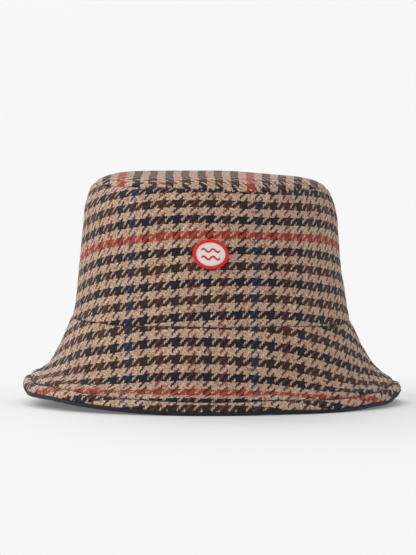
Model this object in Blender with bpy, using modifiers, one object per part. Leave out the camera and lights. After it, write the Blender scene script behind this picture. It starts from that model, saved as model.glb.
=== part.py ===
"""A soft bucket hat in tweed, standing on its brim, modelled in metres with +Z up and its front facing -Y.

The outer cloth faces of the crown and the brim are two smooth surfaces. Every layer of the hat is a shell
at its own depth behind one of them, so that neighbouring layers never touch.
"""

import math

import bmesh
import bpy
from mathutils import Vector
from mathutils.geometry import interpolate_bezier

# --- driving dimensions, in metres -------------------------------------------------------------------

SEAM_HEIGHT = 0.0577  # the crown-to-brim seam above the table
OVAL_EXTRA = 0.0045  # how much longer the hat's half depth is than its half width

# Profiles are Bezier stretches. A crown point is (half width, height above the seam); a brim point is
# (distance out from the seam, height above the seam).
CROWN_WALL = ((0.0957, 0.0), (0.0912, 0.0200), (0.0886, 0.0440), (0.0873, 0.0720))
CROWN_SHOULDER = ((0.0873, 0.0720), (0.0869, 0.0790), (0.0846, 0.0875), (0.0798, 0.0928))
TIP_EDGE = ((0.0798, 0.0928), (0.0762, 0.0968), (0.0710, 0.0996), (0.0590, 0.1000))
TIP_RISE = 0.0012  # the middle of the tip above the end of its rounded edge
BRIM_AT_SIDES = ((0.0, 0.0), (0.0085, -0.0145), (0.0125, -0.0388), (0.0346, -0.0393))
BRIM_AT_FRONT = ((0.0, 0.0), (0.0123, -0.0209), (0.0082, -0.0551), (0.0322, -0.0432))
BORDER_FROM = 0.80  # along the brim, where its border starts to turn down
SIDE_BORDER_TURN = 0.0055  # how much lower the turned-down border ends
FRONT_BORDER_TURN = 0.0104

GAP = 0.0003  # between layers
TRIM_GAP = 0.0006  # under what is sewn flat on a layer, and under the brim's stiffener
SEAM_GAP = 0.0005  # between two panels sewn edge to edge
EDGE_SEAM_GAP = 0.0010  # between the cloth and the facing round the brim's edge
SEAM_MARGIN = 0.0008  # a last narrow row of facets, which keeps a panel's cut edge square to its face
SIDE_SEAM_ANGLE = math.radians(0.2)  # from the side seam's centre to a panel's edge

TWEED = 0.0016
CROWN_INTERLINING = 0.0008
LINING = 0.0005
SWEATBAND = 0.0010
SWEATBAND_HEIGHT = 0.030
BRIM_THICKNESS = 0.0060
FACING = 0.0008
EDGE_SEAM_ANGLE = math.radians(50)  # where cloth gives way to facing round the brim's edge, from its top

THREAD_RADIUS = 0.0004
BRIM_STITCH_AT = 0.92  # along the brim, from the crown seam at 0 to the edge at 1
SWEATBAND_STITCH_HEIGHT = 0.004

PATCH_HEIGHT = 0.0482  # its middle above the seam
PATCH_WIDTH = 0.0243
PATCH_TALL = 0.0210
PATCH_BORDER_RADIUS = 0.0009
PATCH_FIELD = 0.0009
WAVE_LENGTH = 0.0125
WAVE_SWING = 0.0011
WAVE_RADIUS = 0.00045
WAVE_SPACING = 0.0052

LABEL_WIDTH = 0.025
LABEL_DROP = 0.024
LABEL_THICKNESS = 0.0005
SIZE_TAB_WIDTH = 0.018
SIZE_TAB_HEIGHT = 0.012
SIZE_TAB_THICKNESS = 0.0005
SIZE_TAB_ANGLE = math.radians(62)  # round from the right side towards the back

AROUND = 36  # facets in a whole turn
FRONT = -math.pi / 2
BACK = math.pi / 2
STEP_TINY = 1e-4  # for reading a surface's slope
TIP_EDGE_END = 3 - 2 * STEP_TINY  # the last place where the tip's edge profile has a slope

COLOURS = {
    "tweed": ((0.38, 0.27, 0.20), 0.95),
    "interlining": ((0.78, 0.77, 0.74), 0.90),
    "lining": ((0.035, 0.042, 0.065), 0.55),
    "facing": ((0.015, 0.018, 0.030), 0.80),
    "thread": ((0.045, 0.050, 0.070), 0.60),
    "patch_cloth": ((0.80, 0.78, 0.74), 0.75),
    "patch_thread": ((0.75, 0.045, 0.025), 0.45),
    "label": ((0.86, 0.86, 0.84), 0.60),
}


# --- the two outer surfaces --------------------------------------------------------------------------


def bezier(stretch, t):
    """The point at t, from 0 to 1, on one Bezier stretch of a profile."""
    weights = ((1 - t) ** 3, 3 * t * (1 - t) ** 2, 3 * t * t * (1 - t), t ** 3)
    return tuple(sum(w * point[k] for w, point in zip(weights, stretch)) for k in (0, 1))


def crown_profile(s):
    """Half width and height above the seam: the wall for s 0 to 1, the shoulder to 2, the tip's edge to 3."""
    stretch = (CROWN_WALL, CROWN_SHOULDER, TIP_EDGE)[min(int(s), 2)]
    return bezier(stretch, s - min(int(s), 2))


def crown_point(angle, s):
    half_width, height = crown_profile(s)
    return Vector((
        half_width * math.cos(angle),
        (half_width + OVAL_EXTRA) * math.sin(angle),
        SEAM_HEIGHT + height,
    ))


def brim_point(angle, s):
    """The brim droops more in front and behind than at the sides, and reaches out a little less."""
    side_out, side_height = bezier(BRIM_AT_SIDES, s)
    front_out, front_height = bezier(BRIM_AT_FRONT, s)
    turning = max((s - BORDER_FROM) / (1 - BORDER_FROM), 0) ** 3
    side_height -= SIDE_BORDER_TURN * turning
    front_height -= FRONT_BORDER_TURN * turning
    sideways, frontways = math.cos(angle) ** 2, math.sin(angle) ** 2
    out = side_out * sideways + front_out * frontways
    height = side_height * sideways + front_height * frontways
    half_width = CROWN_WALL[0][0] + out
    return Vector((
        half_width * math.cos(angle),
        (half_width + OVAL_EXTRA) * math.sin(angle),
        SEAM_HEIGHT + height,
    ))


def slopes(surface, angle, s):
    """Unit vectors round the hat and along the profile, away from the seam."""
    low, high = max(s - STEP_TINY, 0), s + STEP_TINY
    if surface is brim_point:
        high = min(high, 1)
    around = surface(angle + STEP_TINY, s) - surface(angle - STEP_TINY, s)
    along = surface(angle, high) - surface(angle, low)
    return around.normalized(), along.normalized()


def outward(surface, angle, s):
    around, along = slopes(surface, angle, s)
    normal = around.cross(along).normalized()
    return normal if surface is crown_point else -normal


def beneath(surface, angle, s, depth):
    """The point at a depth behind the outer surface."""
    return surface(angle, s) - depth * outward(surface, angle, s)


def brim_nose(angle, turn, radius):
    """A point on the brim's rounded edge: turn 0 is its top, a half turn its underside."""
    _, along = slopes(brim_point, angle, 1.0)
    normal = outward(brim_point, angle, 1.0)
    centre = beneath(brim_point, angle, 1.0, BRIM_THICKNESS / 2)
    return centre + radius * (math.cos(turn) * normal + math.sin(turn) * along)


def resting(point):
    """No cloth lies below the table: the brim's lowest stretches are pressed flat on it."""
    return Vector((point.x, point.y, max(point.z, 0.0)))


def crown_height_at(height):
    """The s of the crown wall at a height above the seam, by halving."""
    low, high = 0.0, 2.0
    for _ in range(40):
        middle = (low + high) / 2
        if crown_profile(middle)[1] < height:
            low = middle
        else:
            high = middle
    return (low + high) / 2


def trimmed(surface, s, distance):
    """The s that lies a short distance further along the profile at the front."""
    stride = (surface(FRONT, s + STEP_TINY) - surface(FRONT, s)).length if distance > 0 else (
        surface(FRONT, s) - surface(FRONT, s - STEP_TINY)).length
    return s + distance * STEP_TINY / stride


# --- building blocks ---------------------------------------------------------------------------------


def new_material(name):
    colour, roughness = COLOURS[name]
    material = bpy.data.materials.new(name)
    material.use_nodes = True
    shader = material.node_tree.nodes["Principled BSDF"]
    shader.inputs["Base Color"].default_value = (*colour, 1.0)
    shader.inputs["Roughness"].default_value = roughness
    shader.inputs["Metallic"].default_value = 0.0
    return material


def add_object(name, data, slot):
    piece = bpy.data.objects.new(name, data)
    piece.data.materials.append(MATERIALS[slot])
    HAT.objects.link(piece)
    return piece


def spread(first, last, steps):
    return [first + (last - first) * k / steps for k in range(steps + 1)]


def half_turn(middle):
    """The angles of a panel that reaches from one side seam to the other."""
    reach = math.pi / 2 - SIDE_SEAM_ANGLE
    return spread(middle - reach, middle + reach, AROUND // 2)


def whole_turn():
    return spread(0, 2 * math.pi, AROUND)[:-1]


def add_shell(name, rows, thickness, slot, ring=False, hub=None):
    """A shell grown inwards from rows of outer points; a ring closes on itself, and a hub closes its end."""
    mesh = bmesh.new()
    grid = [[mesh.verts.new(point) for point in row] for row in rows]
    columns = len(grid[0])
    for lower, upper in zip(grid, grid[1:]):
        for k in range(columns if ring else columns - 1):
            following = (k + 1) % columns
            mesh.faces.new((lower[k], lower[following], upper[following], upper[k]))
    if hub:
        centre = mesh.verts.new(hub)
        for k in range(columns):
            mesh.faces.new((grid[-1][k], grid[-1][(k + 1) % columns], centre))
    data = bpy.data.meshes.new(name)
    mesh.to_mesh(data)
    mesh.free()
    data.shade_smooth()
    piece = add_object(name, data, slot)
    wall = piece.modifiers.new("thickness", "SOLIDIFY")
    wall.thickness = thickness
    wall.offset = -1.0
    wall.use_even_offset = True
    return piece


def add_thread(name, points, radius, slot, closed=True):
    """A round thread through the given points."""
    curve = bpy.data.curves.new(name, "CURVE")
    curve.dimensions = "3D"
    curve.bevel_depth = radius
    curve.bevel_resolution = 1
    curve.use_fill_caps = not closed
    spline = curve.splines.new("POLY")
    spline.points.add(len(points) - 1)
    for place, point in zip(spline.points, points):
        place.co = (*point, 1.0)
    spline.use_cyclic_u = closed
    return add_object(name, curve, slot)


# --- crown -------------------------------------------------------------------------------------------


def crown_side_rows(angles, depth):
    """From the brim seam up to the tip seam, less the room that each seam keeps."""
    bottom = trimmed(crown_point, 0.0, SEAM_GAP / 2)
    margin = trimmed(crown_point, 2.0, -SEAM_GAP / 2 - SEAM_MARGIN)
    top = trimmed(crown_point, 2.0, -SEAM_GAP / 2)
    stations = spread(bottom, 1.0, 4) + spread(1.0, margin, 3)[1:] + [top]
    return [[beneath(crown_point, angle, s, depth) for angle in angles] for s in stations]


def tip_rows(depth):
    """The tip's rounded edge, then two flatter rings that shrink towards its middle."""
    angles = whole_turn()
    edge = trimmed(crown_point, 2.0, SEAM_GAP / 2)
    margin = trimmed(crown_point, 2.0, SEAM_GAP / 2 + SEAM_MARGIN)
    stations = [edge] + spread(margin, TIP_EDGE_END, 2)
    rows = [[beneath(crown_point, angle, s, depth) for angle in angles] for s in stations]
    hub = Vector((0, 0, SEAM_HEIGHT + TIP_EDGE[-1][1] + TIP_RISE - depth))
    flat_edge = rows[-1]
    for share in (2 / 3, 1 / 3):
        rise = TIP_RISE * (1 - share ** 2)
        rows.append([
            Vector((point.x * share, point.y * share, point.z + rise)) for point in flat_edge
        ])
    return rows, hub


def add_crown():
    layers = (
        ("crown_side", "crown_tip", 0.0, TWEED, "tweed"),
        ("side_interlining", "tip_interlining", TWEED + GAP, CROWN_INTERLINING, "interlining"),
        ("side_lining", "tip_lining", TWEED + CROWN_INTERLINING + 2 * GAP, LINING, "lining"),
    )
    for side, tip, depth, thickness, slot in layers:
        for half, middle in (("front", FRONT), ("back", BACK)):
            rows = crown_side_rows(half_turn(middle), depth)
            add_shell(f"{side}_{half}", rows, thickness, slot)
        rows, hub = tip_rows(depth)
        add_shell(tip, rows, thickness, slot, ring=True, hub=hub)


# --- sweatband and labels ----------------------------------------------------------------------------

SWEATBAND_DEPTH = TWEED + CROWN_INTERLINING + LINING + 3 * GAP
INNER_DEPTH = SWEATBAND_DEPTH + SWEATBAND


def add_sweatband():
    angles = whole_turn()
    bottom = trimmed(crown_point, 0.0, SEAM_GAP)
    top = crown_height_at(SWEATBAND_HEIGHT)
    rows = [
        [beneath(crown_point, angle, s, SWEATBAND_DEPTH) for angle in angles]
        for s in spread(bottom, top, 3)
    ]
    add_shell("sweatband", rows, SWEATBAND, "facing", ring=True)
    at = crown_height_at(SWEATBAND_STITCH_HEIGHT)
    depth = INNER_DEPTH + GAP + THREAD_RADIUS
    points = [beneath(crown_point, angle, at, depth) for angle in angles]
    add_thread("sweatband_stitch", points, THREAD_RADIUS, "thread")


def add_size_tab():
    """A small blank tab sewn flat on the sweatband."""
    reach = SIZE_TAB_WIDTH / 2 / CROWN_WALL[0][0]
    depth = INNER_DEPTH + TRIM_GAP + SIZE_TAB_THICKNESS
    angles = spread(SIZE_TAB_ANGLE - reach, SIZE_TAB_ANGLE + reach, 4)
    middle = SWEATBAND_HEIGHT / 2
    heights = spread(middle - SIZE_TAB_HEIGHT / 2, middle + SIZE_TAB_HEIGHT / 2, 2)
    rows = [
        [beneath(crown_point, angle, crown_height_at(h), depth) for angle in angles]
        for h in heights
    ]
    add_shell("size_tab", rows, -SIZE_TAB_THICKNESS, "label")


def add_care_label():
    """A folded blank label that hangs from the sweatband's top edge at the back, and swings on that edge."""
    top = crown_height_at(SWEATBAND_HEIGHT)
    half_angle = LABEL_WIDTH / 2 / CROWN_WALL[0][0]
    nearest = beneath(crown_point, BACK + half_angle, top, INNER_DEPTH + 2 * GAP)
    hinge = bpy.data.objects.new("care_label_hinge", None)
    hinge.location = (0, nearest.y - LABEL_THICKNESS / 2, nearest.z)
    HAT.objects.link(hinge)

    data = bpy.data.meshes.new("care_label")
    mesh = bmesh.new()
    bmesh.ops.create_cube(mesh, size=1.0)
    bmesh.ops.scale(mesh, vec=(LABEL_WIDTH, LABEL_THICKNESS, LABEL_DROP), verts=mesh.verts)
    bmesh.ops.translate(mesh, vec=(0, 0, -LABEL_DROP / 2), verts=mesh.verts)
    mesh.to_mesh(data)
    mesh.free()
    label = add_object("care_label", data, "label")
    label.parent = hinge


# --- brim --------------------------------------------------------------------------------------------

BRIM_INTERLINING = BRIM_THICKNESS - TWEED - GAP - TRIM_GAP - FACING
NOSE_RADIUS = BRIM_THICKNESS / 2
INTERLINING_END = 0.965  # short of the edge, inside the rounded nose


def brim_stations():
    """Shared by the brim's layers, so that their facets lie over each other."""
    return spread(trimmed(brim_point, 0.0, SEAM_GAP / 2), BRIM_STITCH_AT, 5) + [INTERLINING_END]


def add_brim_half(half, middle):
    angles = half_turn(middle)

    top = [[brim_point(angle, s) for angle in angles] for s in brim_stations() + [1.0]]
    for turn in spread(0, EDGE_SEAM_ANGLE, 3)[1:]:
        top.append([resting(brim_nose(angle, turn, NOSE_RADIUS)) for angle in angles])
    add_shell(f"brim_top_{half}", top[::-1], TWEED, "tweed")

    depth = TWEED + GAP
    stiffener = [[beneath(brim_point, angle, s, depth) for angle in angles] for s in brim_stations()]
    add_shell(f"brim_interlining_{half}", stiffener[::-1], BRIM_INTERLINING, "interlining")

    first_turn = EDGE_SEAM_ANGLE + EDGE_SEAM_GAP / NOSE_RADIUS
    under = [
        [resting(brim_nose(angle, turn, NOSE_RADIUS)) for angle in angles]
        for turn in spread(first_turn, math.pi, 4)
    ]
    for s in brim_stations()[::-1]:
        under.append([beneath(brim_point, angle, s, BRIM_THICKNESS) for angle in angles])
    add_shell(f"brim_facing_{half}", under[::-1], FACING, "facing")


def add_brim_stitching():
    """The row of stitches near the edge: its needle thread on the cloth and its bobbin thread beneath."""
    clear = GAP + THREAD_RADIUS
    for name, depth in (("brim_stitch_upper", -clear), ("brim_stitch_lower", BRIM_THICKNESS + clear)):
        points = [beneath(brim_point, angle, BRIM_STITCH_AT, depth) for angle in whole_turn()]
        add_thread(name, points, THREAD_RADIUS, "thread")


# --- patch -------------------------------------------------------------------------------------------


def on_crown_front(across, up, lift):
    """A point over the front of the crown, from the patch's middle, lifted off the cloth."""
    s = crown_height_at(PATCH_HEIGHT + up)
    return beneath(crown_point, FRONT + across / crown_profile(s)[0], s, -lift)


def patch_oval(share, lift, steps=32):
    half_width = (PATCH_WIDTH / 2 - PATCH_BORDER_RADIUS) * share
    half_tall = (PATCH_TALL / 2 - PATCH_BORDER_RADIUS) * share
    return [
        on_crown_front(half_width * math.cos(turn), half_tall * math.sin(turn), lift)
        for turn in spread(0, 2 * math.pi, steps)[:-1]
    ]


def wave_points(up, lift):
    """Two gentle swings of one stitched line."""
    return [
        on_crown_front(WAVE_LENGTH * (t - 0.5), up + WAVE_SWING * math.sin(4 * math.pi * t), lift)
        for t in spread(0, 1, 20)
    ]


def add_patch():
    border_inside = 1 - (PATCH_BORDER_RADIUS + GAP) / (PATCH_TALL / 2 - PATCH_BORDER_RADIUS)
    top = TRIM_GAP + PATCH_FIELD
    rows = [patch_oval(share, top) for share in spread(border_inside, border_inside / 3, 2)]
    hub = on_crown_front(0, 0, top)
    add_shell("patch_field", rows, PATCH_FIELD, "patch_cloth", ring=True, hub=hub)
    rim = patch_oval(1.0, TRIM_GAP + PATCH_BORDER_RADIUS)
    add_thread("patch_border", rim, PATCH_BORDER_RADIUS, "patch_thread")
    lift = top + GAP + WAVE_RADIUS
    for name, up in (("patch_wave_upper", WAVE_SPACING / 2), ("patch_wave_lower", -WAVE_SPACING / 2)):
        add_thread(name, wave_points(up, lift), WAVE_RADIUS, "patch_thread", closed=False)


# --- assembly ----------------------------------------------------------------------------------------

for old in list(bpy.data.objects):
    bpy.data.objects.remove(old, do_unlink=True)

HAT = bpy.data.collections.new("bucket_hat")
bpy.context.scene.collection.children.link(HAT)
MATERIALS = {name: new_material(name) for name in COLOURS}

add_crown()
add_sweatband()
add_size_tab()
add_care_label()
add_brim_half("front", FRONT)
add_brim_half("back", BACK)
add_brim_stitching()
add_patch()
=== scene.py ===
"""The looks of a tweed bucket hat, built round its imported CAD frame.

Lengths are in metres, +Z is up and the hat's front faces -Y. Every layer of cloth is a closed panel made
from one of two smooth surfaces, the crown's and the brim's. A point of a surface is (angle round the hat,
station along its profile). A panel rolls in at its seams, rises and dips with its own relief, and carries
a UV layer "weave" that lays the flat cloth on it: in metres on plain cloths, in yarns on the tweed.
"""

import math

import bpy
import numpy as np
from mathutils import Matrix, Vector


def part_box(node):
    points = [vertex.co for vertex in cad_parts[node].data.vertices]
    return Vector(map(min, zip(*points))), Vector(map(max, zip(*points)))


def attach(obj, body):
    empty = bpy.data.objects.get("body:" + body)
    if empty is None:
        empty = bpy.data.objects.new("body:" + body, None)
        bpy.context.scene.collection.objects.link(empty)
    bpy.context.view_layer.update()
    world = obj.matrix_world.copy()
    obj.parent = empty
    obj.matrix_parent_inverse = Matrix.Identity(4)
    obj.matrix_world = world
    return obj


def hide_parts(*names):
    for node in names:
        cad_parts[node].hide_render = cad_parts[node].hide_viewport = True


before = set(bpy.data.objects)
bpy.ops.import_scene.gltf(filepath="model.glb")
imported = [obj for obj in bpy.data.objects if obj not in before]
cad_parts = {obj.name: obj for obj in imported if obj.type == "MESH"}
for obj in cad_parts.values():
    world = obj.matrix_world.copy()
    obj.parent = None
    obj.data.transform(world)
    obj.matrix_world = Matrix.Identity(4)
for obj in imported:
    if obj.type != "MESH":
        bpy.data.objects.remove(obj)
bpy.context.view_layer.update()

# --- the hat's two surfaces, as in the CAD part ------------------------------------------------------

SEAM_HEIGHT = (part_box("crown_side_front")[0].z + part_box("brim_top_front")[1].z) / 2
OVAL_EXTRA = 0.0045  # how much longer the hat's half depth is than its half width

# Crown points are (half width, height above the seam); brim points are (distance out, height).
CROWN_WALL = ((0.0957, 0.0), (0.0912, 0.0200), (0.0886, 0.0440), (0.0873, 0.0720))
CROWN_SHOULDER = ((0.0873, 0.0720), (0.0869, 0.0790), (0.0846, 0.0875), (0.0798, 0.0928))
TIP_EDGE = ((0.0798, 0.0928), (0.0762, 0.0968), (0.0710, 0.0996), (0.0590, 0.1000))
TIP_RISE = 0.0012
BRIM_AT_SIDES = ((0.0, 0.0), (0.0085, -0.0145), (0.0125, -0.0388), (0.0346, -0.0393))
BRIM_AT_FRONT = ((0.0, 0.0), (0.0123, -0.0209), (0.0082, -0.0551), (0.0322, -0.0432))
BORDER_FROM = 0.80  # along the brim, where its border starts to turn down
SIDE_BORDER_TURN = 0.0055
FRONT_BORDER_TURN = 0.0104

TWEED = 0.0016
INTERLINING = 0.0008
LINING = 0.0005
SWEATBAND = 0.0010
SWEATBAND_HEIGHT = 0.030
BRIM_THICKNESS = 0.0060
FACING = 0.0008
LAYER_GAP = 0.0003
TRIM_GAP = 0.0006
EDGE_SEAM_TURN = math.radians(30)  # where tweed gives way to facing on the brim's rounded edge
BRIM_STITCH_AT = 0.93

FRONT = -math.pi / 2
BACK = math.pi / 2
TINY = 1e-4

# --- the shape the hat has settled into --------------------------------------------------------------

LEAN = 0.0120  # how far the crown's seam drops from left to right, per metre
WRINKLE = 0.0006  # how far the whole hat wanders from its even shape
WRINKLE_LENGTH = 0.085
SHOULDER_SAG = 0.0022  # how far the crown's right shoulder has sunk
BRIM_RISE = 0.0022  # how much higher the left end of the brim stands
BRIM_FALL = 0.0018  # and how much lower the right end
BRIM_DROOP = 0.0042  # how far the brim hangs down to the right of its front
BRIM_TUCK = 0.0011  # how far the brim's left side is pushed in

# Where each of these comes in: the distance at which it starts, and the one at which it is complete.
BRIM_ENDS = (0.108, 0.126)
LEFT_FRONT = (0.0, 0.030)
LEFT_FRONT_FALL = 1.6  # over this stretch the left end's rise turns into a fall, by this share of it
DROOP_ACROSS = (0.035, 0.100)
DROOP_FORWARD = (0.010, 0.060)
DROOP_FADES_UP = (0.005, 0.050)
TUCK_ACROSS = (0.088, 0.100)
SAG_ACROSS = (0.0, 0.085)
SAG_UP = (0.105, 0.150)
SAG_INWARD = 0.8  # how far the sunk shoulder moves in, as a share of how far it sinks
FREE_FROM = 0.8  # the crown moves freely above this share of the seam's height


def column(values):
    return np.asarray(values, float)[:, None]


def row(values):
    return np.asarray(values, float)[None, :]


def bezier(stretch, t):
    """Points at t, from 0 to 1, on one Bezier stretch: two arrays like t."""
    weights = ((1 - t) ** 3, 3 * t * (1 - t) ** 2, 3 * t * t * (1 - t), t ** 3)
    return tuple(sum(w * point[k] for w, point in zip(weights, stretch)) for k in (0, 1))


def ellipse_point(angle, half_width, height):
    angle, half_width, height = np.broadcast_arrays(angle, half_width, height)
    across = half_width * np.cos(angle)
    along = (half_width + OVAL_EXTRA) * np.sin(angle)
    return np.stack((across, along, SEAM_HEIGHT + height), axis=-1)


def crown_surface(angle, s):
    """The wall for s from 0 to 1, the shoulder to 2, the tip's rounded edge to 3."""
    s = np.asarray(s, float)
    half_width, height = np.zeros_like(s), np.zeros_like(s)
    for k, stretch in enumerate((CROWN_WALL, CROWN_SHOULDER, TIP_EDGE)):
        inside = (s >= k) & ((s < k + 1) | (k == 2))
        r, h = bezier(stretch, s - k)
        half_width, height = np.where(inside, r, half_width), np.where(inside, h, height)
    return ellipse_point(angle, half_width, height)


def brim_upper(angle, s):
    """The brim droops more in front and behind than at the sides, and reaches out a little less."""
    side_out, side_height = bezier(BRIM_AT_SIDES, s)
    front_out, front_height = bezier(BRIM_AT_FRONT, s)
    sideways = np.cos(angle) ** 2
    border_turn = SIDE_BORDER_TURN * sideways + FRONT_BORDER_TURN * (1 - sideways)
    out = side_out * sideways + front_out * (1 - sideways)
    height = side_height * sideways + front_height * (1 - sideways)
    height -= border_turn * np.clip((s - BORDER_FROM) / (1 - BORDER_FROM), 0, 1) ** 3
    return ellipse_point(angle, CROWN_WALL[0][0] + out, height)


def directions(surface, angle, s, low, high):
    """Unit vectors round the hat, along the profile, and out of the surface."""
    around = surface(angle + TINY, s) - surface(angle - TINY, s)
    along = surface(angle, np.minimum(s + TINY, high)) - surface(angle, np.maximum(s - TINY, low))
    around /= np.linalg.norm(around, axis=-1, keepdims=True)
    along /= np.linalg.norm(along, axis=-1, keepdims=True)
    return around, along, np.cross(around, along)


def crown_at(angle, s, depth=0.0):
    """Points behind the crown's surface, and the way out of it."""
    _, _, normal = directions(crown_surface, angle, s, 0.0, 3.0)
    return crown_surface(angle, s) - depth * normal, normal


def brim_at(angle, s, depth=0.0):
    """Round the brim's section: its top for s from 0 to 1, its rounded edge to 2, its underside to 3."""
    angle, s = np.broadcast_arrays(angle, s)
    on_top = np.where(s > 2, 3 - s, np.minimum(s, 1))
    _, along, inward = directions(brim_upper, angle, on_top, 0.0, 1.0)
    up = -inward
    turn = math.pi * np.clip(s - 1, 0, 1)[..., None]
    normal = np.cos(turn) * up + np.sin(turn) * along
    centre = brim_upper(angle, on_top) - BRIM_THICKNESS / 2 * up
    return centre + (BRIM_THICKNESS / 2 - depth) * normal, normal


def ripple(points, length, seed):
    """Smooth noise of about unit size with the given wavelength: a sum of plane waves."""
    random = np.random.default_rng(seed)
    waves = 14
    ways = random.normal(size=(waves, 3))
    ways /= np.linalg.norm(ways, axis=1, keepdims=True)
    lengths = length * random.uniform(0.7, 1.5, waves)
    phases = random.uniform(0, 2 * math.pi, waves)
    total = np.zeros(points.shape[:-1])
    for way, size, phase in zip(ways, lengths, phases):
        total += np.sin(2 * math.pi * (points @ way) / size + phase)
    return total * math.sqrt(2 / waves)


def smooth_step(low, high, value):
    t = np.clip((value - low) / (high - low), 0, 1)
    return t * t * (3 - 2 * t)


def settle(points):
    """Moves every layer alike: the crown leans, the brim's sides differ, and nothing is quite even."""
    x, y, z = points[..., 0], points[..., 1], points[..., 2]
    free = smooth_step(0.0, SEAM_HEIGHT * FREE_FROM, z)
    moved = points.copy()
    moved[..., 2] -= LEAN * x * free
    turned = 1 - LEFT_FRONT_FALL * smooth_step(*LEFT_FRONT, -y)
    moved[..., 2] += BRIM_RISE * smooth_step(*BRIM_ENDS, -x) * turned
    moved[..., 2] -= BRIM_FALL * smooth_step(*BRIM_ENDS, x)
    droop = smooth_step(*DROOP_ACROSS, x) * smooth_step(*DROOP_FORWARD, -y)
    moved[..., 2] -= BRIM_DROOP * droop * (1 - smooth_step(*DROOP_FADES_UP, z))
    moved[..., 0] += BRIM_TUCK * smooth_step(*TUCK_ACROSS, -x)
    sag = SHOULDER_SAG * smooth_step(*SAG_ACROSS, x) * smooth_step(*SAG_UP, z)
    moved[..., 0] -= SAG_INWARD * sag
    moved[..., 2] -= sag
    for k in range(3):
        moved[..., k] += WRINKLE * free * ripple(points, WRINKLE_LENGTH, 40 + k)
    moved[..., 2] = np.maximum(moved[..., 2], np.minimum(z, 0.0))  # nothing sinks into the table
    return moved


# --- panels ------------------------------------------------------------------------------------------

SEAM_ROLL = 0.0008  # how far a panel's edge rolls in at a seam
SEAM_SPACE = 0.00008  # from a seam's centre to a panel's edge
ROLL_STEPS = (0.0, 0.0002, 0.0005, 0.0009, 0.0014)  # where the rows of points over a rolled edge lie
PUCKER = 0.00022  # how much the stitches of a seam pucker the cloth beside it
PUCKER_LENGTH = 0.011
PUCKER_REACH = 0.007
SWELL = 0.0002  # how much the seam allowance inside lifts the cloth beside a seam
SWELL_AT = 0.0032
SWELL_WIDTH = 0.0022
BEYOND_SEAMS = 1.0  # the distance to a seam that a closed ring doesn't have


def graded(first, last, step, fine=True):
    """Distances from first to last, closer together at both ends, where the cloth rolls in."""
    edge = ROLL_STEPS if fine else (0.0,)
    start, end = first + edge[-1], last - edge[-1]
    steps = max(1, round((end - start) / step))
    middle = [start + (end - start) * k / steps for k in range(steps + 1)]
    return np.array([first + e for e in edge[:-1]] + middle + [last - e for e in edge[:-1][::-1]])


def stations_for(at, angle, first, last, distances_of):
    """The stations along one profile at the distances that distances_of chooses for its length."""
    s = np.linspace(first, last, 2000)
    points, _ = at(np.full_like(s, angle), s)
    travelled = np.concatenate(([0.0], np.cumsum(np.linalg.norm(np.diff(points, axis=0), axis=1))))
    return np.interp(distances_of(travelled[-1]), travelled, s)


def lengths_along(points, axis):
    """How far each grid point lies from the grid's first row or column, along the surface."""
    steps = np.linalg.norm(np.diff(points, axis=axis), axis=-1)
    start = np.zeros_like(np.take(steps, [0], axis=axis))
    return np.concatenate((start, np.cumsum(steps, axis=axis)), axis=axis)


def rolled(distance, radius=SEAM_ROLL):
    """How deep a rounded edge lies at a distance from the seam."""
    inside = np.clip(radius - distance, 0, radius)
    return radius - np.sqrt(np.maximum(radius ** 2 - inside ** 2, 0))


def seam_relief(distance, points, seed):
    """The roll at a seam, and the puckers that its stitches pull into the cloth beside it."""
    fade = np.exp(-distance / PUCKER_REACH)
    swell = SWELL * np.exp(-((distance - SWELL_AT) / SWELL_WIDTH) ** 2)
    return swell - rolled(distance) + PUCKER * fade * ripple(points, PUCKER_LENGTH, seed)


class Grid:
    """Points on a surface, with each one's distance from the panel's four edges."""

    def __init__(self, at, angles, stations, depth=0.0, closed=False):
        self.points, self.normals = at(row(angles), column(stations), depth)
        self.angle, self.station = np.broadcast_arrays(row(angles), column(stations))
        self.up = lengths_along(self.points, 0)
        self.across = lengths_along(self.points, 1)
        self.from_first, self.from_last = self.up, self.up[-1:] - self.up
        far = np.full_like(self.up, BEYOND_SEAMS)
        self.from_left = far if closed else self.across
        self.from_right = far if closed else self.across[:, -1:] - self.across


def closed_mesh(name, outer, inner, uv, closed=False, hub=None):
    """One closed body from an outer grid and an inner one; a hub closes the last row."""
    rows, columns = outer.shape[:2]
    points = np.concatenate((outer.reshape(-1, 3), inner.reshape(-1, 3)))
    flat = np.concatenate((uv.reshape(-1, 2), uv.reshape(-1, 2)))
    index = np.arange(rows * columns).reshape(rows, columns)
    following = np.roll(index, -1, axis=1) if closed else index[:, 1:]
    here = index if closed else index[:, :-1]
    quads = np.stack((here[:-1], following[:-1], following[1:], here[1:]), axis=-1).reshape(-1, 4)
    shift = rows * columns
    faces = [*quads.tolist(), *(quads[:, ::-1] + shift).tolist()]

    def strip(line):
        pairs = zip(line, line[1:])
        faces.extend([b, a, a + shift, b + shift] for a, b in pairs)

    loop = [0] if closed else []
    strip([*index[0].tolist(), *index[0, loop].tolist()])
    if hub is None:
        strip([*index[-1].tolist(), *index[-1, loop].tolist()][::-1])
    if not closed:
        strip(index[:, -1].tolist())
        strip(index[::-1, 0].tolist())
    if hub is not None:
        top, bottom = len(points), len(points) + 1
        points = np.concatenate((points, np.array([hub[0], hub[1]])))
        flat = np.concatenate((flat, np.array([hub[2], hub[2]])))
        last = index[-1].tolist()
        for a, b in zip(last, last[1:] + last[:1]):
            faces.append([a, b, top])
            faces.append([b + shift, a + shift, bottom])
    return mesh_piece(name, points, faces, flat)


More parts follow.
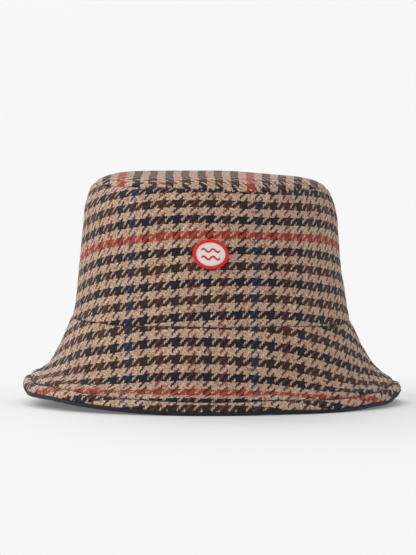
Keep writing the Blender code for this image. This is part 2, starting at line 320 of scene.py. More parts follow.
def mesh_piece(name, points, faces, flat, sharp=50):
    """An object, shaded smooth except at edges over "sharp" degrees; flat holds its points' weave."""
    data = bpy.data.meshes.new(name)
    data.from_pydata(settle(np.asarray(points, float)).tolist(), [], faces)
    data.shade_smooth()
    data.set_sharp_from_angle(angle=math.radians(sharp))
    layer = data.uv_layers.new(name="weave")
    corners = np.zeros(len(data.loops), np.int32)
    data.loops.foreach_get("vertex_index", corners)
    layer.data.foreach_set("uv", np.asarray(flat, np.float32)[corners].ravel())
    piece = bpy.data.objects.new(name, data)
    bpy.context.scene.collection.objects.link(piece)
    return piece


def finish_piece(piece, look, node, body="hat"):
    """Gives a piece its material and its place in the frame; its slot has the look's name, or another."""
    piece.data.materials.append(MATERIALS[look])
    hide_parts(node)
    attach(piece, body)


# --- how the cloth was cut ---------------------------------------------------------------------------

CHECK_WARP = 0.0113  # from one coloured warp stripe to the next
CHECK_WEFT = 0.01098
YARNS = 8  # in one check, four coloured and four plain

# Each panel is cut as part of a flat ring and then steamed to shape, which moves warp and weft
# differently. "cone" is how much of a whole ring it spans, and "warp_cone" the same for its warp; "tilt"
# turns it on the ring; "skew" slants its warp; "red" and "blue" are where those two stripes lie.
CROWN_CUT = {
    "cone": 0.162, "warp_cone": 0.117, "tilt": math.radians(-2.15), "skew": 0.0485,
    "red": 0.0627, "blue": 0.0302,
}
BRIM_CUT = {
    "cone": 0.284, "warp_cone": 0.41, "tilt": math.radians(0.85), "skew": 0.0,
    "red": 0.0460, "blue": 0.0311,
}
RING = 0.098  # the radius of that ring, before its cone opens it
BRIM_STRETCH = 1.087  # the brim's cloth is stretched outwards when it is pressed
TIP_RED = 0.0269  # a red stripe's place across the tip
TIP_WARP = 0.007  # and a blue one's place along it


def cut_of(cut, middle, angle, distance, outwards, stretch=1.0):
    """Yarn numbers (warp, weft) on a panel, at an angle round the hat and a distance from its seam."""
    around = angle - middle
    arc = CROWN_WALL[0][0] / cut["warp_cone"] + outwards * distance
    u = arc * np.sin(cut["warp_cone"] * around) - cut["skew"] * distance
    radius = RING / cut["cone"]
    v = outwards * ((radius + outwards * distance) * np.cos(cut["cone"] * around + cut["tilt"]) - radius)
    warp = (u - cut["blue"]) / CHECK_WARP * YARNS + YARNS / 4
    weft = -outwards * (v - cut["red"]) / (CHECK_WEFT * stretch) * YARNS + YARNS / 4
    return np.stack((warp, weft), axis=-1)


# --- materials ---------------------------------------------------------------------------------------


def linear(red, green, blue):
    """A colour given as it looks on a screen, in the shader's own linear values."""
    return tuple(
        ((c / 255 + 0.055) / 1.055) ** 2.4 if c > 10 else c / 255 / 12.92 for c in (red, green, blue)
    )


class Graph:
    """A material's nodes, with short ways to add the ones used here."""

    def __init__(self, name):
        self.material = bpy.data.materials.new(name)
        self.material.use_nodes = True
        self.tree = self.material.node_tree
        self.shader = self.tree.nodes["Principled BSDF"]

    def node(self, kind, inputs=(), **settings):
        made = self.tree.nodes.new(kind)
        for key, value in settings.items():
            setattr(made, key, value)
        for socket, value in dict(inputs).items():
            self.put(made.inputs[socket], value)
        return made

    def put(self, socket, value):
        if isinstance(value, bpy.types.NodeSocket):
            self.tree.links.new(value, socket)
        elif isinstance(value, tuple) and socket.type == "RGBA":
            socket.default_value = (*value, 1.0)
        else:
            socket.default_value = value

    def math(self, operation, *values):
        return self.node("ShaderNodeMath", enumerate(values), operation=operation).outputs[0]

    def mix(self, factor, a, b, blend="MIX"):
        made = self.node("ShaderNodeMix", data_type="RGBA", blend_type=blend)
        self.put(made.inputs[0], factor)
        self.put(made.inputs[6], a)
        self.put(made.inputs[7], b)
        return made.outputs[2]

    def noise(self, vector, scale, detail=2.0, roughness=0.5):
        inputs = {"Vector": vector, "Scale": scale, "Detail": detail, "Roughness": roughness}
        return self.node("ShaderNodeTexNoise", inputs)

    def split(self, vector):
        return self.node("ShaderNodeSeparateXYZ", {"Vector": vector}).outputs

    def join(self, x, y, z=0.0):
        return self.node("ShaderNodeCombineXYZ", {"X": x, "Y": y, "Z": z}).outputs[0]

    def weave(self):
        return self.node("ShaderNodeUVMap", uv_map="weave").outputs[0]

    def bands(self, place, colours):
        """One of several colours, for places from 0 to 1."""
        ramp = self.node("ShaderNodeValToRGB", {"Fac": place})
        ramp.color_ramp.interpolation = "CONSTANT"
        stops = ramp.color_ramp.elements
        while len(stops) < len(colours):
            stops.new(1.0)
        for k, colour in enumerate(colours):
            stops[k].position = k / len(colours)
            stops[k].color = (*colour, 1.0)
        return ramp.outputs[0]

    def surface(self, colour, roughness, height=None, relief=0.0, sheen=0.0, sheen_roughness=0.5):
        self.put(self.shader.inputs["Base Color"], colour)
        self.put(self.shader.inputs["Roughness"], roughness)
        self.shader.inputs["Sheen Weight"].default_value = sheen
        self.shader.inputs["Sheen Roughness"].default_value = sheen_roughness
        if height is not None:
            inputs = {"Height": height, "Strength": 1.0, "Distance": relief}
            bump = self.node("ShaderNodeBump", inputs)
            self.put(self.shader.inputs["Normal"], bump.outputs[0])
        return self.material


GROUND = linear(200, 168, 144)
GROUNDS = (  # the wools that the ground's mixed yarn is spun from
    linear(138, 98, 80), linear(184, 146, 124), linear(208, 174, 148),
    linear(192, 156, 136), linear(226, 196, 170), linear(184, 140, 124),
)
NAVY = linear(8, 14, 30)
BROWN = linear(48, 27, 19)
RED = linear(169, 58, 37)
RUST = linear(108, 58, 42)
UMBER = linear(33, 21, 17)
BLUE = linear(48, 64, 92)
WEFT_STANDS = 0.54  # how much prouder the weft lies than the warp, in yarns
YARN_WANDER = 1.1  # how far a yarn strays from its straight line, in yarns
YARN_FRAY = 1.25  # how ragged its edges are
STRAY_FIBRES = 0.15  # how much pale fibre lies over the pattern
WEFT_STRIPES = (RED, NAVY, BROWN, NAVY, BROWN, NAVY, BROWN, NAVY)
WARP_STRIPES = (BLUE, UMBER, RUST, UMBER, RUST, UMBER, RUST, UMBER)


def yarn_colour(graph, number, along, stripes):
    """A yarn's colour from its number: four coloured ones, then four of mixed pale wool."""
    check = graph.math("FLOOR", graph.math("DIVIDE", number, float(YARNS)))
    place = graph.math("DIVIDE", graph.math("FLOORED_MODULO", check, 8.0), 8.0)
    coloured = graph.bands(graph.math("ADD", place, 1 / 16), stripes)
    spun = graph.join(graph.math("MULTIPLY", along, 0.45), graph.math("MULTIPLY", number, 7.31))
    chance = graph.noise(spun, 1.0, 3.0, 0.6).outputs[0]
    blend = graph.node("ShaderNodeMapRange", {0: chance, 1: 0.32, 2: 0.68}).outputs[0]
    plain = graph.bands(blend, GROUNDS)
    tone = graph.node("ShaderNodeMapRange", {0: chance, 1: 0.3, 2: 0.7, 3: 0.55, 4: 1.6}).outputs[0]
    coloured = graph.mix(1.0, coloured, graph.join(tone, tone, tone), "MULTIPLY")
    is_coloured = graph.math("LESS_THAN", graph.math("FLOORED_MODULO", number, float(YARNS)), YARNS / 2)
    return graph.mix(is_coloured, plain, coloured)


def tweed_material():
    """A woollen 2/2 twill in a checked pattern of thick, hairy yarns; the twill rises to the right."""
    graph = Graph("tweed")
    weave = graph.weave()
    wander = graph.noise(weave, 0.30, 2.0).outputs["Color"]
    fray = graph.noise(weave, 1.9, 3.0, 0.7).outputs["Color"]
    u, v, _ = graph.split(weave)
    places = []
    for line, bend, hair in zip((u, v), graph.split(wander), graph.split(fray)):
        moved = graph.math("MULTIPLY_ADD", graph.math("SUBTRACT", bend, 0.5), YARN_WANDER, line)
        places.append(graph.math("MULTIPLY_ADD", graph.math("SUBTRACT", hair, 0.5), YARN_FRAY, moved))
    u, v = places
    i, j = graph.math("FLOOR", u), graph.math("FLOOR", v)

    # A yarn rises and dips once in every four it crosses; its section is round.
    def yarn_height(across, along, lead, thick):
        turn = graph.math("MULTIPLY", graph.math("SUBTRACT", along, lead), math.pi / 2)
        swing = graph.math("COSINE", turn)
        section = graph.math("POWER", graph.math("SUBTRACT", graph.math("FRACT", across), 0.5), 2.0)
        return graph.math("MULTIPLY_ADD", swing, 0.5, graph.math("MULTIPLY_ADD", section, -1.5, thick))

    warp_height = yarn_height(u, v, graph.math("ADD", i, 2.0), 0.36)
    weft_height = yarn_height(v, u, graph.math("ADD", j, 1.0), 0.36 + WEFT_STANDS)
    weft_on_top = graph.math("GREATER_THAN", weft_height, warp_height)
    height = graph.math("MAXIMUM", warp_height, weft_height)

    warp = yarn_colour(graph, i, v, WARP_STRIPES)
    weft = yarn_colour(graph, j, u, WEFT_STRIPES)
    colour = graph.mix(weft_on_top, warp, weft)
    fibres = graph.noise(weave, 5.0, 2.0, 0.7).outputs[0]
    stray = graph.node("ShaderNodeMapRange", {0: fibres, 1: 0.55, 2: 0.80, 4: STRAY_FIBRES}).outputs[0]
    colour = graph.mix(stray, colour, GROUND)
    # painted shade: the colour darkens where the yarns sink between one another, and also varies at
    # random with the fibres
    depth = graph.node("ShaderNodeMapRange", {0: height, 1: 0.1, 2: 0.85, 3: 0.42, 4: 1.12}).outputs[0]
    shade = graph.math("MULTIPLY", depth, graph.math("MULTIPLY_ADD", fibres, 0.5, 0.75))
    colour = graph.mix(1.0, colour, graph.join(shade, shade, shade), "MULTIPLY")
    bumps = graph.math("MULTIPLY_ADD", fibres, 0.5, height)
    return graph.surface(colour, 0.95, bumps, 0.0006, sheen=0.11, sheen_roughness=0.19)


def twill_material(name, colour, crest_highlight, lines, roughness, relief):
    """A fine twill: slanting ridges, so many a metre, whose crests are painted lighter: a painted
    highlight, uneven in random patches.
    """
    graph = Graph(name)
    u, v, _ = graph.split(graph.weave())
    slope = graph.math("MULTIPLY", graph.math("ADD", u, v), lines)
    wobble = graph.noise(graph.weave(), lines * 0.4, 2.0).outputs[0]
    slope = graph.math("MULTIPLY_ADD", wobble, 0.7, slope)
    ridge = graph.math("PINGPONG", slope, 0.5)
    ridge = graph.math("MULTIPLY", ridge, 2.0)
    patches = graph.noise(graph.weave(), 60.0, 3.0).outputs[0]
    # tone: how much painted highlight each ridge's crest gets, uneven in random patches
    tone = graph.math("MULTIPLY", ridge, graph.math("MULTIPLY_ADD", patches, 0.8, 0.3))
    return graph.surface(graph.mix(tone, colour, crest_highlight), roughness, ridge, relief, sheen=0.05)


def ribbed_material(name, colour, crest_highlight, ribs, roughness, relief):
    """A tape with fine ribs along its width, their crests painted lighter: a painted highlight, uneven in
    random patches.
    """
    graph = Graph(name)
    u, v, _ = graph.split(graph.weave())
    rib = graph.math("MULTIPLY", graph.math("PINGPONG", graph.math("MULTIPLY", u, ribs), 0.5), 2.0)
    weft = graph.math("PINGPONG", graph.math("MULTIPLY", v, ribs * 1.7), 0.5)
    height = graph.math("MULTIPLY_ADD", weft, 0.5, rib)
    patches = graph.noise(graph.weave(), 90.0, 3.0).outputs[0]
    # tone: how much painted highlight each rib's crest gets, uneven in random patches
    tone = graph.math("MULTIPLY", rib, graph.math("MULTIPLY_ADD", patches, 0.8, 0.2))
    return graph.surface(graph.mix(tone, colour, crest_highlight), roughness, height, relief, sheen=0.05)


def felt_material():
    """Non-woven interlining: matted fibres."""
    graph = Graph("interlining")
    fibres = graph.noise(graph.weave(), 900.0, 4.0, 0.7).outputs[0]
    colour = graph.mix(fibres, linear(190, 188, 180), linear(232, 230, 224))
    return graph.surface(colour, 0.9, fibres, 0.0002)


def thread_material(name, colour, crest_highlight, roughness, twist=1.0):
    """Twisted thread with a painted highlight on the crest of each ply, uneven along it; its weave layer
    runs along the thread in u and round it in v.
    """
    graph = Graph(name)
    u, v, _ = graph.split(graph.weave())
    ply = graph.math("PINGPONG", graph.math("MULTIPLY_ADD", u, 1400.0 * twist, v), 0.5)
    ply = graph.math("MULTIPLY", ply, 2.0)
    hairs = graph.noise(graph.weave(), 700.0, 2.0).outputs[0]
    # tone: how much painted highlight each ply's crest gets, uneven with the hairs
    tone = graph.math("MULTIPLY", ply, graph.math("MULTIPLY_ADD", hairs, 0.6, 0.4))
    return graph.surface(graph.mix(tone, colour, crest_highlight), roughness, ply, 0.0001, sheen=0.02)


# For the twills, tapes and threads, the second colour is the painted highlight on their crests.
MATERIALS = {
    "tweed": tweed_material(),
    "facing": twill_material("facing", linear(17, 20, 30), linear(38, 44, 60), 700.0, 0.85, 0.00012),
    "lining": twill_material("lining", linear(24, 28, 42), linear(48, 56, 78), 1300.0, 0.5, 0.00005),
    "sweatband": ribbed_material(
        "sweatband", linear(16, 19, 29), linear(44, 50, 68), 800.0, 0.7, 0.0001
    ),
    "interlining": felt_material(),
    "thread": thread_material("thread", linear(20, 23, 34), linear(58, 66, 88), 0.6),
    "patch_cloth": twill_material(
        "patch_cloth", linear(234, 231, 226), linear(253, 252, 249), 1100.0, 0.7, 0.00012
    ),
    "patch_thread": thread_material("patch_thread", linear(206, 12, 6), linear(250, 30, 16), 0.60, 0.3),
    "label": ribbed_material(
        "label", linear(214, 213, 208), linear(244, 243, 240), 1500.0, 0.5, 0.00004
    ),
}

# --- the crown and its layers ------------------------------------------------------------------------

COARSE, MEDIUM, FINE = 0.0050, 0.0028, 0.0016  # facet sizes
INTERLINING_DEPTH = TWEED + LAYER_GAP
LINING_DEPTH = TWEED + INTERLINING + 2 * LAYER_GAP
TIP_HUB = SEAM_HEIGHT + TIP_EDGE[-1][1] + TIP_RISE
TIP_EDGE_END = 3.0 - 2 * TINY
FAR_FROM_SEAM = 0.05  # the tip's inner rings lie beyond the reach of its seam's puckers


def half_angles(middle, step):
    """The angles of a half panel, closer together at its side seams."""
    reach = math.pi / 2 - SEAM_SPACE / CROWN_WALL[0][0]
    distances = graded(0, 2 * reach * CROWN_WALL[0][0], step)
    return middle - reach + distances / CROWN_WALL[0][0]


def whole_angles(step):
    count = round(2 * math.pi * CROWN_WALL[0][0] / step)
    return np.arange(count) * 2 * math.pi / count


def cloth_uv(grid, middle):
    """For plain cloths: metres round the hat and metres up the profile."""
    return np.stack(((grid.angle - middle) * CROWN_WALL[0][0], grid.up), axis=-1)


def crown_uv(grid, middle):
    return cut_of(CROWN_CUT, middle, grid.angle, grid.up, -1)


def side_panel(name, middle, depth, thickness, step, uv_of):
    stations = stations_for(
        crown_at, FRONT, 0.0, 2.0, lambda length: graded(SEAM_SPACE, length - SEAM_SPACE, step)
    )
    grid = Grid(crown_at, half_angles(middle, step), stations, depth)
    lift = np.zeros_like(grid.up)
    if thickness >= TWEED:
        for k, edge in enumerate((grid.from_first, grid.from_last, grid.from_left, grid.from_right)):
            lift += seam_relief(edge, grid.points, 10 + k)
    outer = grid.points + lift[..., None] * grid.normals
    inner = grid.points - thickness * grid.normals
    return closed_mesh(name, outer, inner, uv_of(grid, middle))


def tip_panel(name, depth, thickness, step, tweed):
    """The tip's rounded edge from the surface, then rings that shrink towards its middle."""
    angles = whole_angles(step)
    fine_rows = len(ROLL_STEPS) - 1  # left out at the inner end, where there is no seam
    stations = stations_for(
        crown_at, FRONT, 2.0, TIP_EDGE_END, lambda length: graded(SEAM_SPACE, length, step)[:-fine_rows]
    )
    edge = Grid(crown_at, angles, np.append(stations, TIP_EDGE_END), depth, closed=True)
    rings = max(3, round(TIP_EDGE[-1][0] / step))
    shares = [1 - k / rings for k in range(1, rings)]
    flat_edge, flat_normal = edge.points[-1], edge.normals[-1]
    points, normals = [*edge.points], [*edge.normals]
    for share in shares:
        place = flat_edge * (share, share, 1) + (0, 0, TIP_RISE * (1 - share ** 2))
        points.append(place)
        normals.append(flat_normal * share + np.array((0, 0, 1 - share)))
    points, normals = np.array(points), np.array(normals)
    normals /= np.linalg.norm(normals, axis=-1, keepdims=True)
    lift = np.zeros(points.shape[:2])
    if tweed:
        distance = np.concatenate((edge.up, np.full((len(shares), len(angles)), FAR_FROM_SEAM)))
        lift += seam_relief(distance, points, 21)
    hub = np.array((0, 0, TIP_HUB - depth))
    outer = points + lift[..., None] * normals
    inner = points - thickness * normals
    if tweed:
        flat = tip_cut(points)
        hub_flat = tip_cut(hub)
    else:
        flat, hub_flat = points[..., :2], hub[:2]
    ends = (hub, hub - (0, 0, thickness), hub_flat)
    return closed_mesh(name, outer, inner, flat, closed=True, hub=ends)


def tip_cut(points):
    """On the tip the weft stripes run from front to back."""
    warp = (-points[..., 1] - TIP_WARP) / CHECK_WARP * YARNS + YARNS / 4
    weft = (points[..., 0] - TIP_RED) / CHECK_WEFT * YARNS + YARNS / 4
    return np.stack((warp, weft), axis=-1)


def build_crown():
    """The wall's two halves and the tip, in tweed, interlining and lining."""
    layers = (
        ("crown_side", "crown_tip", 0.0, TWEED, FINE, "tweed"),
        ("side_interlining", "tip_interlining", INTERLINING_DEPTH, INTERLINING, COARSE, "interlining"),
        ("side_lining", "tip_lining", LINING_DEPTH, LINING, MEDIUM, "lining"),
    )
    for side, tip, depth, thickness, step, look in layers:
        uv_of = crown_uv if look == "tweed" else cloth_uv
        for half, middle in (("front", FRONT), ("back", BACK)):
            node = f"{side}_{half}"
            piece = side_panel(f"{node}_cloth", middle, depth, thickness, step, uv_of)
            finish_piece(piece, look, node)
        piece = tip_panel(f"{tip}_cloth", depth, thickness, step, look == "tweed")
        finish_piece(piece, look, tip)


# --- the brim ----------------------------------------------------------------------------------------

GROOVE = 0.0015  # how deep the row of stitches pulls the cloth down into the padding
GROOVE_WIDTH = 0.0012
GROOVE_STATIONS = 0.004 * np.arange(-5, 6)  # the rows of points that follow the groove
GROOVE_CLEAR = 0.003  # how near the other rows may come to them
GATHER = 0.0050  # how much of the tweed's length the row of stitches takes up
GATHER_REACH = 0.0009
SQUEEZED = 0.0008  # how much of that the cloth itself takes up
EDGE_SWELL = 0.0004  # how much the padded edge stands up between the stitches and the edge
INNER_SWELL = 0.6  # and on their other side, as a share of that
EDGE_SWELL_AT = 0.0042
EDGE_SWELL_WIDTH = 0.0028
FINER = 1.6  # the brim's rows lie this much closer than its facet size
STITCH = 0.0034
STITCH_SPACE = 0.0005
THREAD_RADIUS = 0.00042
BRIM_EDGE_STATION = 1 + EDGE_SEAM_TURN / math.pi
STIFFENER_END = 0.965  # the interlining stops short of the rounded edge


def brim_uv(grid, middle):
    taken_up = GATHER * smooth_step(-GATHER_REACH, GATHER_REACH, stitch_distance(grid))
    return cut_of(BRIM_CUT, middle, grid.angle, grid.up + taken_up, 1, BRIM_STRETCH)


def stitch_distance(grid):
    """How far each point lies beyond the row of stitches, along the profile."""
    columns = zip(grid.station.T, grid.up.T)
    return grid.up - row([np.interp(BRIM_STITCH_AT, station, up) for station, up in columns])


def stitched_relief(grid):
    """The groove that the stitches pull, and the padding that swells on both sides of it."""
    beyond = stitch_distance(grid)
    uneven = 1 + 0.2 * ripple(grid.points, 0.009, 51)
    groove = -GROOVE * np.exp(-(beyond / GROOVE_WIDTH) ** 2)
    swell = np.exp(-((beyond - EDGE_SWELL_AT) / EDGE_SWELL_WIDTH) ** 2)
    swell += INNER_SWELL * np.exp(-((beyond + EDGE_SWELL_AT) / EDGE_SWELL_WIDTH) ** 2)
    return uneven * (groove + EDGE_SWELL * swell)


def groove_in_padding(grid):
    return (GROOVE - SQUEEZED) * np.exp(-(stitch_distance(grid) / GROOVE_WIDTH) ** 2)


def brim_half(half, middle):
    """One half of the brim: its tweed, its interlining and its facing."""
    angles = half_angles(middle, FINE)
    stations = stations_for(
        brim_at, FRONT, 0.0, BRIM_EDGE_STATION,
        lambda length: graded(SEAM_SPACE, length - SEAM_SPACE, FINE / FINER),
    )
    near_stitches = BRIM_STITCH_AT + GROOVE_STATIONS
    before = stations[stations < near_stitches[0] - GROOVE_CLEAR]
    after = stations[stations > near_stitches[-1] + GROOVE_CLEAR]
    stations = np.concatenate((before, near_stitches, after))
    grid = Grid(brim_at, angles, stations)
    lift = np.zeros_like(grid.up)
    for k, edge in enumerate((grid.from_first, grid.from_last, grid.from_left, grid.from_right)):
        lift += seam_relief(edge, grid.points, 30 + k)
    lift, sunk = lift + stitched_relief(grid), groove_in_padding(grid)
    outer = grid.points + lift[..., None] * grid.normals
    inner = grid.points - (TWEED + sunk)[..., None] * grid.normals
    outer, inner = rest_on_table(outer), rest_on_table(inner)
    piece = closed_mesh(f"brim_top_{half}_cloth", outer, inner, brim_uv(grid, middle))
    finish_piece(piece, "tweed", f"brim_top_{half}")

    stations = stations_for(
        brim_at, FRONT, 0.0, STIFFENER_END, lambda length: graded(LAYER_GAP, length, COARSE, False)
    )
    thickness = BRIM_THICKNESS - TWEED - LAYER_GAP - TRIM_GAP - FACING
    stiffener = Grid(brim_at, half_angles(middle, COARSE), stations, INTERLINING_DEPTH)
    outer = stiffener.points - groove_in_padding(stiffener)[..., None] * stiffener.normals
    inner = stiffener.points - thickness * stiffener.normals
    piece = closed_mesh(f"brim_interlining_{half}_cloth", outer, inner, cloth_uv(stiffener, middle))
    finish_piece(piece, "interlining", f"brim_interlining_{half}")

    stations = stations_for(
        brim_at, FRONT, BRIM_EDGE_STATION, 3.0,
        lambda length: graded(SEAM_SPACE, length - SEAM_SPACE, MEDIUM / FINER),
    )
    under = Grid(brim_at, half_angles(middle, MEDIUM), stations)
    lift = -0.5 * rolled(under.from_first) - 0.3 * (rolled(under.from_left) + rolled(under.from_right))
    lift += 0.00012 * ripple(under.points, 0.012, 61)
    outer = rest_on_table(under.points + lift[..., None] * under.normals)
    inner = rest_on_table(under.points - FACING * under.normals)
    piece = closed_mesh(f"brim_facing_{half}_cloth", outer, inner, cloth_uv(under, middle))
    finish_piece(piece, "facing", f"brim_facing_{half}")


def rest_on_table(points):
    """Presses flat what would lie below the table."""
    resting = points.copy()
    resting[..., 2] = np.maximum(resting[..., 2], 0.0)
    return resting


def stitches(name, line_at, start, end, lift, radius, length, space):
    """A row of separate stitches along a line; each is a round thread whose ends dive into the cloth.

    line_at gives points and normals for an array of angles.
    """
    angles = np.linspace(start, end, 3000)
    points, _ = line_at(angles)
    travelled = np.concatenate(([0.0], np.cumsum(np.linalg.norm(np.diff(points, axis=0), axis=1))))
    count = int(travelled[-1] / (length + space))
    pitch = travelled[-1] / count
    sections, sides = 7, 8
    all_points, faces, flat = [], [], []
    for k in range(count):
        reach = np.linspace(-0.5, 0.5, sections) * (pitch - space)
        where = np.interp((k + 0.5) * pitch + reach, travelled, angles)
        middle, normal = line_at(where)
        tangent = np.gradient(middle, axis=0)
        tangent /= np.linalg.norm(tangent, axis=1, keepdims=True)
        side = np.cross(tangent, normal)
        t = np.linspace(-1, 1, sections)
        dive = lift - 2.6 * radius * t ** 4
        girth = radius * np.sqrt(np.clip(1.04 - t ** 6, 0.05, 1))
        base = len(all_points)
        for m in range(sections):
            for q in range(sides):
                turn = 2 * math.pi * q / sides
                arm = math.cos(turn) * side[m] + math.sin(turn) * normal[m]
                all_points.append(middle[m] + dive[m] * normal[m] + girth[m] * arm)
                flat.append(((k + 0.5) * pitch + reach[m], q / sides))
        ring = [base + q for q in range(sides)]
        for m in range(sections - 1):
            lower = [p + m * sides for p in ring]
            for q in range(sides):
                n = (q + 1) % sides
                faces.append([lower[q], lower[n], lower[n] + sides, lower[q] + sides])
        faces.append(ring[::-1])
        faces.append([p + (sections - 1) * sides for p in ring])
    faces = [face[::-1] for face in faces]
    return mesh_piece(name, all_points, faces, flat, sharp=80)


def build_brim():
    brim_half("front", FRONT)
    brim_half("back", BACK)
    rows = (("brim_stitch_upper", BRIM_STITCH_AT, GROOVE), ("brim_stitch_lower", 3 - BRIM_STITCH_AT, 0.0))
    for name, station, depth in rows:
        piece = stitches(
            f"{name}_thread",
            lambda angles: brim_at(angles, np.full_like(angles, station), depth),
            FRONT, FRONT + 2 * math.pi, THREAD_RADIUS * 0.7, THREAD_RADIUS, STITCH, STITCH_SPACE,
        )
        finish_piece(piece, "thread", name)


# --- the sweatband and the labels --------------------------------------------------------------------


def height_station(height):
    """The station of the crown wall at a height above the seam."""
    s = np.linspace(0, 2, 4000)
    heights = crown_surface(np.zeros_like(s), s)[:, 2] - SEAM_HEIGHT
    return np.interp(height, heights, s)


SWEATBAND_DEPTH = TWEED + INTERLINING + LINING + 3 * LAYER_GAP
INNER_DEPTH = SWEATBAND_DEPTH + SWEATBAND
TAPE_FACET = 0.0022
TAPE_START = 0.0005
TAPE_EDGE = 0.0005  # the radius of the tape's soft edges
SWAY = 0.00012  # how much the tape waves, away from its sewn edge
SWAY_LIMIT = 0.00015
TAPE_STITCH_AT = 0.004
LABEL_CURL = 0.0008
SIZE_TAB_ANGLE = math.radians(62)
SIZE_TAB_REACH = 0.009  # half its width
SIZE_TAB_HEIGHTS = (0.009, 0.021)
SIZE_TAB_THICKNESS = 0.0005


def build_inside():
    top = height_station(SWEATBAND_HEIGHT)
    stations = stations_for(
        crown_at, FRONT, 0.0, top, lambda length: graded(TAPE_START, length, TAPE_FACET)
    )
    grid = Grid(crown_at, whole_angles(TAPE_FACET), stations, SWEATBAND_DEPTH, closed=True)
    sway = SWAY * ripple(grid.points, 0.014, 71) * smooth_step(0.006, 0.024, grid.up)
    soft = np.maximum(rolled(grid.from_last, TAPE_EDGE), rolled(grid.from_first, TAPE_EDGE)) * 0.7
    outer = grid.points + np.minimum(sway, SWAY_LIMIT)[..., None] * grid.normals
    inner = grid.points - (SWEATBAND - sway - soft)[..., None] * grid.normals
    piece = closed_mesh("sweatband_tape", outer, inner, cloth_uv(grid, FRONT), closed=True)
    finish_piece(piece, "sweatband", "sweatband")

    line = height_station(TAPE_STITCH_AT)
    piece = stitches(
        "sweatband_stitch_thread",
        lambda angles: inside_out(crown_at(angles, np.full_like(angles, line), INNER_DEPTH)),
        FRONT, FRONT + 2 * math.pi, 0.0002, 0.0003, 0.0030, 0.0006,
    )
    finish_piece(piece, "thread", "sweatband_stitch")


def inside_out(line):
    """The same line with its normals turned towards the head."""
    points, normals = line
    return points, -normals


def label_panel(half_width, drop, thickness):
    """The two faces of a label hanging down from the middle of its top edge, with a soft curl."""
    across, down = np.meshgrid(np.linspace(-1, 1, 24), np.linspace(0, 1, 24))
    curl = -LABEL_CURL * np.sin(math.pi * down) * (1 - 0.3 * across ** 2)
    face = np.stack((across * half_width, curl - thickness / 2, -down * drop), axis=-1)
    back = face + (0, thickness, 0)
    flat = np.stack((across * half_width, down * drop), axis=-1)
    return face, back, flat


def build_labels():
    low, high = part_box("care_label")
    half_width, drop, thickness = (high.x - low.x) / 2, high.z - low.z, high.y - low.y
    face, back, flat = label_panel(half_width, drop, thickness)
    hinge = np.array(((low.x + high.x) / 2, (low.y + high.y) / 2, high.z))
    piece = closed_mesh("care_label_tape", (face + hinge)[::-1], (back + hinge)[::-1], flat[::-1])
    finish_piece(piece, "label", "care_label", body="label")

    reach = SIZE_TAB_REACH / CROWN_WALL[0][0]
    angles = np.linspace(SIZE_TAB_ANGLE - reach, SIZE_TAB_ANGLE + reach, 20)
    stations = height_station(np.linspace(*SIZE_TAB_HEIGHTS, 14))
    grid = Grid(crown_at, angles, stations, INNER_DEPTH + TRIM_GAP)
    inner = grid.points - SIZE_TAB_THICKNESS * grid.normals
    piece = closed_mesh("size_tab_tape", grid.points, inner, cloth_uv(grid, SIZE_TAB_ANGLE))
    finish_piece(piece, "label", "size_tab")


# --- the patch ---------------------------------------------------------------------------------------

PATCH_HEIGHT = 0.0482  # its middle, above the crown's seam
PATCH_WIDTH = 0.0243
PATCH_TALL = 0.0210
BORDER_RADIUS = 0.0012
BORDER_FLATNESS = 0.7  # how high the border stands, as a share of its width
PATCH_FIELD = 0.0009
FIELD_DOME = 0.00015
FIELD_SUNK = 0.0003
FIELD_SHORT = 0.4  # how far the field stops short of its border's middle line, in border radii
WAVE_LENGTH = 0.0125
WAVE_SWING = 0.0011
WAVE_RADIUS = 0.00062
WAVE_FLATNESS = 0.8
WAVE_SUNK = 0.0001
WAVE_SPACING = 0.0052
SATIN_PITCH = 0.00038  # from one wrapped thread to the next


def on_crown_front(across, up, lift):
    """Points over the front of the crown, from the patch's middle, and the way out of the cloth."""
    s = height_station(PATCH_HEIGHT + up)
    half_width = crown_surface(np.zeros_like(s), s)[..., 0]
    points, normals = crown_at(FRONT + across / half_width, s)
    return points + np.asarray(lift)[..., None] * normals, normals


def satin_tube(name, across, up, lift, radius, flatness, closed=False):
    """A satin-stitched line: threads wrapped side by side over a padded core."""
    points, normals = on_crown_front(across, up, np.full_like(across, lift))
    count, sides = len(points), 14
    tangent = np.roll(points, -1, 0) - np.roll(points, 1, 0) if closed else np.gradient(points, axis=0)
    tangent /= np.linalg.norm(tangent, axis=1, keepdims=True)
    side = np.cross(tangent, normals)
    travelled = np.concatenate(([0.0], np.cumsum(np.linalg.norm(np.diff(points, axis=0), axis=1))))
    random = np.random.default_rng(5)
    thread = travelled / SATIN_PITCH
    swell = 0.05 * np.abs(np.sin(math.pi * thread)) + 0.02 * random.normal(size=count)
    girth = radius * (0.97 + swell)
    if not closed:
        end = np.minimum(travelled, travelled[-1] - travelled) / radius
        girth *= np.sqrt(np.clip(1 - (1 - np.clip(end, 0, 1)) ** 2, 0.02, 1))
    all_points, flat, faces = [], [], []
    for k in range(count):
        for q in range(sides):
            turn = 2 * math.pi * q / sides
            arm = math.cos(turn) * side[k] + flatness * math.sin(turn) * normals[k]
            all_points.append(points[k] + girth[k] * arm)
            flat.append((travelled[k], q / sides))
    last = count if closed else count - 1
    for k in range(last):
        here, there = k * sides, (k + 1) % count * sides
        for q in range(sides):
            n = (q + 1) % sides
            faces.append([here + n, here + q, there + q, there + n])
    if not closed:
        faces.append(list(range(sides)))
        faces.append([(count - 1) * sides + q for q in range(sides)][::-1])
    return mesh_piece(name, all_points, faces, flat, sharp=80)


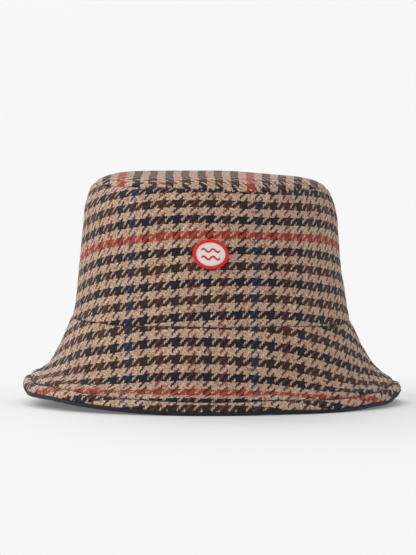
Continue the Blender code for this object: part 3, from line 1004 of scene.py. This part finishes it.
def build_patch():
    """An oval of twill under a raised satin border, with two stitched waves on it."""
    half_width, half_tall = PATCH_WIDTH / 2 - BORDER_RADIUS, PATCH_TALL / 2 - BORDER_RADIUS
    turns = np.arange(96) * 2 * math.pi / 96
    inside = 1 - FIELD_SHORT * BORDER_RADIUS / half_tall
    shares = np.linspace(inside, 0, 16)[:-1]
    top = TRIM_GAP + PATCH_FIELD
    across = row(half_width * np.cos(turns)) * column(shares)
    up = row(half_tall * np.sin(turns)) * column(shares)
    dome = FIELD_DOME * (1 - column(shares) ** 2) + 0 * across
    face, _ = on_crown_front(across, up, top + dome - FIELD_SUNK)
    back, _ = on_crown_front(across, up, TRIM_GAP + 0 * across)
    hub_face, _ = on_crown_front(np.zeros(1), np.zeros(1), np.full(1, top + FIELD_DOME - FIELD_SUNK))
    hub_back, _ = on_crown_front(np.zeros(1), np.zeros(1), np.full(1, TRIM_GAP))
    flat = np.stack((across, up), axis=-1)
    hub = (hub_face[0], hub_back[0], np.zeros(2))
    piece = closed_mesh("patch_field_cloth", face, back, flat, closed=True, hub=hub)
    finish_piece(piece, "patch_cloth", "patch_field")

    turns = np.arange(760) * 2 * math.pi / 760
    border = satin_tube(
        "patch_border_satin", half_width * np.cos(turns), half_tall * np.sin(turns),
        TRIM_GAP + BORDER_RADIUS * BORDER_FLATNESS, BORDER_RADIUS, BORDER_FLATNESS, closed=True,
    )
    finish_piece(border, "patch_thread", "patch_border")
    t = np.linspace(0, 1, 160)
    for name, middle in (("patch_wave_upper", WAVE_SPACING / 2), ("patch_wave_lower", -WAVE_SPACING / 2)):
        wave = satin_tube(
            f"{name}_satin", WAVE_LENGTH * (t - 0.5), middle + WAVE_SWING * np.sin(4 * math.pi * t),
            top - WAVE_SUNK, WAVE_RADIUS, WAVE_FLATNESS,
        )
        finish_piece(wave, "patch_thread", name)


# --- the studio --------------------------------------------------------------------------------------

CAMERA_DISTANCE = 4.5
CAMERA_ELEVATION = math.radians(3.0)
AIM = Vector((-0.0021, 0.0, 0.0861))
LENS = 423.6
FAR_PLANE = 200
FLOOR_REACH = 90
SKY = 0.60
FLOOR_GLOW = 0.145  # a lit table, which keeps the shadows faint
FLOOR_PALENESS = 0.65
LAMPS = (  # name, the way it shines, strength, how wide it looks in degrees
    ("key", (1.0, 0.35, -0.8), 1.1, 50.0),
    ("back", (0.3, -1.0, -0.8), 1.6, 50.0),
    ("fill", (-0.9, 0.7, -0.6), 0.06, 70.0),
)


def build_studio():
    camera = bpy.data.objects.new("camera", bpy.data.cameras.new("camera"))
    camera.data.lens = LENS
    camera.data.clip_end = FAR_PLANE
    back = Vector((0, -math.cos(CAMERA_ELEVATION), math.sin(CAMERA_ELEVATION)))
    camera.location = AIM + CAMERA_DISTANCE * back
    camera.rotation_mode = "QUATERNION"
    camera.rotation_quaternion = (-back).to_track_quat("-Z", "Y")
    bpy.context.scene.collection.objects.link(camera)
    bpy.context.scene.camera = camera

    points = [(x * FLOOR_REACH, y * FLOOR_REACH, 0) for x, y in ((-1, -1), (1, -1), (1, 1), (-1, 1))]
    data = bpy.data.meshes.new("floor")
    data.from_pydata(points, [], [(0, 1, 2, 3)])
    floor = bpy.data.objects.new("floor", data)
    graph = Graph("floor")
    graph.shader.inputs["Emission Color"].default_value = (1, 1, 1, 1)
    graph.shader.inputs["Emission Strength"].default_value = FLOOR_GLOW
    floor.data.materials.append(graph.surface((FLOOR_PALENESS,) * 3, 0.9))
    bpy.context.scene.collection.objects.link(floor)

    world = bpy.data.worlds.new("studio")
    world.use_nodes = True
    background = world.node_tree.nodes["Background"]
    background.inputs["Color"].default_value = (1, 1, 1, 1)
    background.inputs["Strength"].default_value = SKY
    bpy.context.scene.world = world
    bpy.context.scene.view_settings.view_transform = "Standard"
    for name, way, strength, spread in LAMPS:
        lamp = bpy.data.objects.new(name, bpy.data.lights.new(name, "SUN"))
        lamp.data.energy = strength
        lamp.data.angle = math.radians(spread)
        lamp.rotation_mode = "QUATERNION"
        lamp.rotation_quaternion = Vector(way).to_track_quat("-Z", "Y")
        bpy.context.scene.collection.objects.link(lamp)


build_crown()
build_brim()
build_inside()
build_labels()
build_patch()
build_studio()
